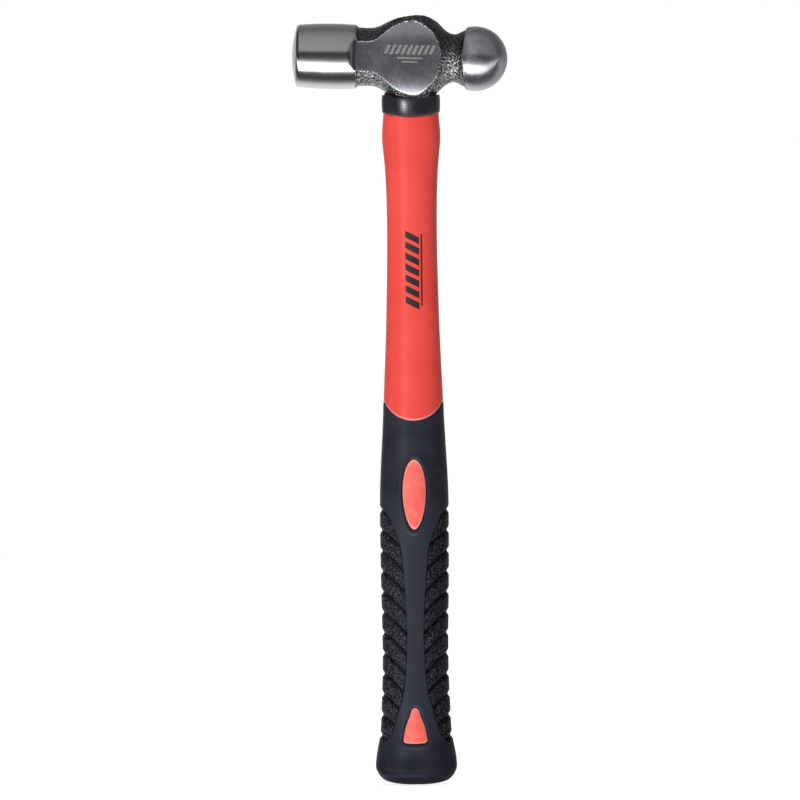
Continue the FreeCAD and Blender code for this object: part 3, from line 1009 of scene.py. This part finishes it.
def red_plastic():
    """Satin moulded plastic, with painted highlights along its rims and painted shade where other parts
    cover it.
    """
    g = Graph("red_plastic")
    x, y, z = g.split(g.place)
    painted_cover_shade = g.named("painted_cover_shade")
    skin = g.noise(g.place, 0.6, 3.0, 0.6)
    # painted highlight: pale pink along the grip's edge and round the pads
    colour = g.blend(g.times(g.named("rim"), 0.6), moulded_red(g, z), (0.95, 0.47, 0.45, 1))
    # painted shade where other parts cover the shaft, round the collar and in the gaps round the pads
    colour = g.blend(painted_cover_shade, colour, (0.018, 0.002, 0.003, 1))
    colour = g.blend(shaft_print(g, x, y, z), colour, (0.018, 0.014, 0.014, 1))

    roughness = g.plus(g.between(skin, 0.3, 0.7, 0.40, 0.50), g.times(painted_cover_shade, 0.3))
    sheen = g.between(z, 128 * MM, 134 * MM, 0.9, 0.42)
    # painted shade: less sheen towards +X
    sheen = g.times(sheen, g.between(x, 0.0, 8 * MM, 1.0, 0.45))
    g.set(Base_Color=colour, Roughness=roughness, Normal=g.bump(skin, 0.035, 0.6), Specular_IOR_Level=sheen)
    g.set(Coat_Weight=0.3, Coat_Roughness=0.3)
    g.set(Subsurface_Weight=0.05, Subsurface_Radius=(0.004, 0.0012, 0.001), Subsurface_Scale=0.4)
    return g.material


def leather_grain(g, x, y, z):
    """Round dots of uneven strength, drawn out across the ribs on the +X side."""
    along = g.plus(g.times(x, 0.55), g.times(z, -0.83))
    across = g.plus(g.times(x, 0.83), g.times(z, 0.55))
    stretch = g.between(x, -2 * MM, 2 * MM, 1.0, 0.6)
    drawn = g.join(across, y, g.times(along, stretch))
    dots = g.below(g.cells(drawn, 0.6), 0.16, 0.52)
    return g.times(dots, g.between(g.noise(drawn, 1.1, 2.0, 0.6), 0.35, 0.6, 0.35, 1.0))


def smooth_rubber(g, z):
    """The colour of the smooth top and butt, and of the strip between the ribs."""
    cloud = g.between(g.noise(g.place, 9.0, 3.0), 0.3, 0.7)
    smooth = g.blend(cloud, (0.0125, 0.0135, 0.0215, 1), (0.0225, 0.0235, 0.0335, 1))
    above_butt = g.between(z, 14 * MM, 24 * MM)
    below_top = g.below(z, 96 * MM, 112 * MM)
    return g.blend(g.times(above_butt, below_top), smooth, (0.023, 0.0245, 0.037, 1))


def ribbed_rubber(g, x, leather, shade):
    """Pale dots on the ribs, with painted shade dimming them towards +X, and painted shade in the grooves.
    """
    specks = g.times(leather, g.between(x, -4 * MM, 9 * MM, 1.0, 0.55))
    grained = g.blend(specks, (0.0035, 0.0035, 0.005, 1), (0.14, 0.145, 0.19, 1))
    return g.blend(g.times(shade, 0.9), grained, (0.0015, 0.0015, 0.002, 1))


def butt_highlight_line(g, x, z):
    """1 along a painted highlight line low round the butt, less towards +X, 0 elsewhere."""
    away = g.math("ABSOLUTE", g.minus(z, BUTT_HIGHLIGHT_HEIGHT * MM))
    highlight_line = g.below(away, 0.2 * MM, 0.9 * MM)
    return g.times(highlight_line, g.between(x, -9 * MM, 9 * MM, 1.0, 0.3))


def grip_rubber():
    """Satin rubber, smooth on the strip, top and butt, and leather-grained on the ribs."""
    g = Graph("grip_rubber")
    x, y, z = g.split(g.place)
    ribbed = g.named("ribbed")
    shade = g.named("shade")
    skin = g.noise(g.place, 0.5, 3.0, 0.6)
    leather = leather_grain(g, x, y, z)
    # painted shade: the butt's underside is darker and duller
    painted_underside_shade = g.below(z, 0.7 * MM, 2.5 * MM)

    colour = g.blend(ribbed, smooth_rubber(g, z), ribbed_rubber(g, x, leather, shade))
    colour = g.blend(painted_underside_shade, colour, (0.004, 0.004, 0.006, 1))
    # painted highlight: a paler line low round the butt
    colour = g.blend(g.times(butt_highlight_line(g, x, z), 0.8), colour, (0.042, 0.044, 0.058, 1))

    butt = g.math("MAXIMUM", painted_underside_shade, g.below(z, 7.0 * MM, 14.0 * MM))
    sheen = g.between(butt, 0.0, 1.0, 0.45, 0.08)
    # painted shade: less sheen in the grooves and towards +X
    sheen = g.times(sheen, g.minus(1.0, g.times(shade, 0.85)))
    sheen = g.times(sheen, g.between(x, 0.0, 11 * MM, 1.0, 0.45))
    roughness = g.plus(g.between(skin, 0.3, 0.7, 0.40, 0.48), g.times(painted_underside_shade, 0.3))
    moulded = g.bump(skin, 0.012, 0.5)
    relief = g.bump(g.times(leather, ribbed), 0.2, 1.0, moulded)
    g.set(Base_Color=colour, Roughness=roughness, Normal=relief, Specular_IOR_Level=sheen)
    g.set(Specular_Tint=(0.86, 0.89, 1.0, 1))
    return g.material


def collar_rubber():
    """Smooth black rubber, a little glossier than the grip."""
    g = Graph("collar_rubber")
    cloud = g.between(g.noise(g.place, 5.0, 3.0), 0.3, 0.7)
    skin = g.noise(g.place, 0.5, 3.0, 0.6)
    g.set(Base_Color=g.blend(cloud, (0.008, 0.008, 0.013, 1), (0.013, 0.013, 0.021, 1)))
    g.set(Roughness=g.between(skin, 0.3, 0.7, 0.25, 0.34), Normal=g.bump(skin, 0.02, 0.6))
    return g.material


def black_epoxy():
    """Poured black resin with a swirl in it."""
    g = Graph("black_epoxy")
    swirl = g.noise(g.place, 2.5, 4.0)
    specks = g.noise(g.place, 0.3, 2.0)
    g.set(Base_Color=g.blend(g.between(swirl, 0.35, 0.7), (0.01, 0.01, 0.011, 1), (0.028, 0.027, 0.028, 1)))
    g.set(Roughness=g.between(specks, 0.3, 0.7, 0.22, 0.4), Normal=g.bump(swirl, 0.12, 0.6))
    return g.material


def glass_fibre():
    """Sawn yellowish rod, with the ends of its strands."""
    g = Graph("glass_fibre")
    x, y, z = g.split(g.place)
    strands = g.cells(g.join(x, y, g.times(z, 0.02)), 0.4)
    cloud = g.noise(g.place, 1.8, 3.0)
    colour = g.blend(g.between(strands, 0.1, 0.5), (0.6724, 0.5776, 0.305, 1), (0.305, 0.2307, 0.0887, 1))
    colour = g.blend(g.between(cloud, 0.35, 0.65, 0.0, 0.5), colour, (0.1878, 0.1384, 0.0612, 1))
    g.set(Base_Color=colour, Roughness=g.between(strands, 0.1, 0.5, 0.5, 0.7))
    g.set(Normal=g.bump(strands, 0.08, 0.7))
    return g.material


def floor_paper():
    """White paper, lit from within so that only a trace of the object's shadow shows."""
    g = Graph("floor_paper")
    fibre = g.noise(g.place, 3.0, 3.0)
    g.set(Base_Color=g.blend(fibre, (0.46, 0.46, 0.46, 1), (0.5, 0.5, 0.5, 1)), Roughness=0.9)
    g.set(Emission_Color=(1.0, 1.0, 1.0, 1.0), Emission_Strength=0.82)
    return g.material


# ---- Studio ----
CAMERA_DISTANCE = 2.6
CAMERA_ACROSS = -5.05 * MM
CAMERA_HEIGHT = 144.9 * MM
VIEW_WIDTH = 301.7 * MM    # what the picture spans at the object
CAMERA_ROLL = math.radians(0.49)
LIGHT_AIM = Vector((0, 0, 0.15))


def make_camera():
    data = bpy.data.cameras.new("camera")
    data.sensor_width = 36
    data.lens = data.sensor_width * CAMERA_DISTANCE / VIEW_WIDTH
    data.clip_start = 0.1
    data.clip_end = 20
    camera = link_new("camera", data)
    camera.location = (CAMERA_ACROSS, -CAMERA_DISTANCE, CAMERA_HEIGHT)
    camera.rotation_euler = (math.pi / 2, CAMERA_ROLL, 0)
    bpy.context.scene.camera = camera


def make_floor():
    half = 4.0
    mesh = bpy.data.meshes.new("floor")
    corners = [(-half, -half, 0), (half, -half, 0), (half, half, 0), (-half, half, 0)]
    mesh.from_pydata(corners, [], [(0, 1, 2, 3)])
    mesh.materials.append(floor_paper())
    floor = link_new("floor", mesh)
    floor.visible_glossy = False
    floor.visible_diffuse = False
    floor.visible_shadow = False


def area_light(name, place, size, power):
    """A round lamp, its size in metres and its power in watts, aimed at the middle."""
    data = bpy.data.lights.new(name, "AREA")
    data.shape = "DISK"
    data.size = size
    data.energy = power
    light = link_new(name, data)
    light.location = place
    light.rotation_mode = "QUATERNION"
    light.rotation_quaternion = (LIGHT_AIM - Vector(place)).to_track_quat("-Z", "Y")
    light.visible_glossy = False
    return light


def sheen_light(name, place, size, power, pieces):
    """A lamp near the key that only the given pieces catch, and mirror."""
    lamp = area_light(name, place, size, power)
    lamp.visible_glossy = True
    moulded = bpy.data.collections.new(name)
    for piece in pieces:
        moulded.objects.link(piece)
    lamp.light_linking.receiver_collection = moulded


# What shiny surfaces see, by the angle round the X axis in degrees: 0 is level behind the
# camera, 90 overhead, -90 underfoot. One low bright panel, and everything else about it.
PANEL = [
    (-180, 0.0), (-62, 0.0), (-56, 3.6), (-48, 5.0),
    (-33, 5.0), (-26, 1.3), (-20, 0.35), (-13, 0.0),
    (180, 0.0),
]
SURROUND = [
    (-180, 0.7), (-150, 1.1), (-128, 1.0), (-117, 0.72),
    (-104, 0.24), (-92, 0.09), (-84, 0.07), (-67, 0.12),
    (-60, 0.25), (-20, 0.25), (-12, 0.16), (-3, 0.08),
    (8, 0.05), (11, 0.08), (15, 0.42), (25, 0.46),
    (32, 0.46), (52, 0.43), (69, 0.38), (87, 0.30),
    (108, 0.18), (138, 0.27), (160, 0.5), (180, 0.7),
]
# How much of each is left towards the sides, by the direction's X.
PANEL_ACROSS = [
    (-1.0, 0.2), (-0.88, 0.45), (-0.64, 0.45), (-0.5, 0.9),
    (-0.3, 1.0), (-0.1, 0.8), (0.05, 0.62), (0.3, 0.6),
    (0.5, 0.55), (0.64, 0.35), (0.85, 0.28), (1.0, 0.3),
]
SURROUND_ACROSS = [
    (-1.0, 0.3), (-0.85, 0.16), (-0.6, 0.35), (-0.4, 0.95),
    (0.05, 0.95), (0.3, 0.7), (0.6, 0.5), (1.0, 0.45),
]
PEAK = 5.0
AMBIENT = 0.36             # the even light that matt surfaces get
AMBIENT_SLOPE = 0.03       # and how it changes from -X to +X


def light_ramp(g, value, low, high, stops, peak):
    """A ramp over a value from low to high; each stop is (value, light)."""
    ramp = g.node("ValToRGB", g.node("MapRange", value, low, high).outputs[0])
    band = ramp.color_ramp
    band.elements.remove(band.elements[1])
    for i, (at, light) in enumerate(stops):
        place = (at - low) / (high - low)
        stop = band.elements[0] if i == 0 else band.elements.new(place)
        stop.position = place
        shade = light / peak
        stop.color = (shade, shade, shade, 1)
    return ramp.outputs[0]


def background(g, strength):
    return g.node("Background", (1, 1, 1, 1), strength).outputs[0]


def reflected_light(g, x, y, z):
    """What shiny surfaces see in the direction x, y, z."""
    angle = g.times(g.math("ARCTAN2", z, g.times(y, -1.0)), 180 / math.pi)
    light = 0.0
    for around, across in ((PANEL, PANEL_ACROSS), (SURROUND, SURROUND_ACROSS)):
        up = light_ramp(g, angle, -180, 180, around, PEAK)
        level = light_ramp(g, x, -1, 1, across, 1.0)
        light = g.plus(g.times(up, level), light)
    return background(g, g.times(light, PEAK))


def make_world():
    """White behind the object, even light on matt surfaces, studio panels in shiny ones."""
    world = bpy.data.worlds.new("studio")
    bpy.context.scene.world = world
    world.use_nodes = True
    g = Nodes(world.node_tree)
    x, y, z = g.split(g.node("TexCoord").outputs["Generated"])
    even = background(g, g.plus(g.times(x, AMBIENT_SLOPE), AMBIENT))
    path = g.node("LightPath").outputs
    seen = g.node("MixShader", path["Is Glossy Ray"], even, reflected_light(g, x, y, z)).outputs[0]
    seen = g.node("MixShader", path["Is Camera Ray"], seen, background(g, 1.0)).outputs[0]
    g.node("OutputWorld", seen)


def finish_core():
    """The rod keeps its CAD shape and gets its glass-fibre surface."""
    core = bpy.data.objects["fibreglass_core"]
    for slot in core.material_slots:
        slot.material = glass_fibre()


make_camera()
make_world()
make_floor()
area_light("key", (-0.93, -2.0, 0.45), 0.9, 32)
area_light("back", (0.9, 1.9, 0.9), 1.0, 19)
bpy.context.scene.view_settings.view_transform = "Standard"
bpy.context.scene.view_settings.look = "None"

make_head(steel())
grip = make_grip(grip_rubber())
jacket = make_jacket(red_plastic())
collar = make_collar(collar_rubber())
make_resin(black_epoxy())
finish_core()
sheen_light("grip_sheen", (-0.93, -2.0, 0.45), 0.3, 4.5, [grip])
sheen_light("shaft_sheen", (-0.8, -2.0, 0.45), 1.1, 5.5, [jacket])
sheen_light("collar_sheen", (-0.7, -2.1, 0.45), 0.3, 23, [collar])
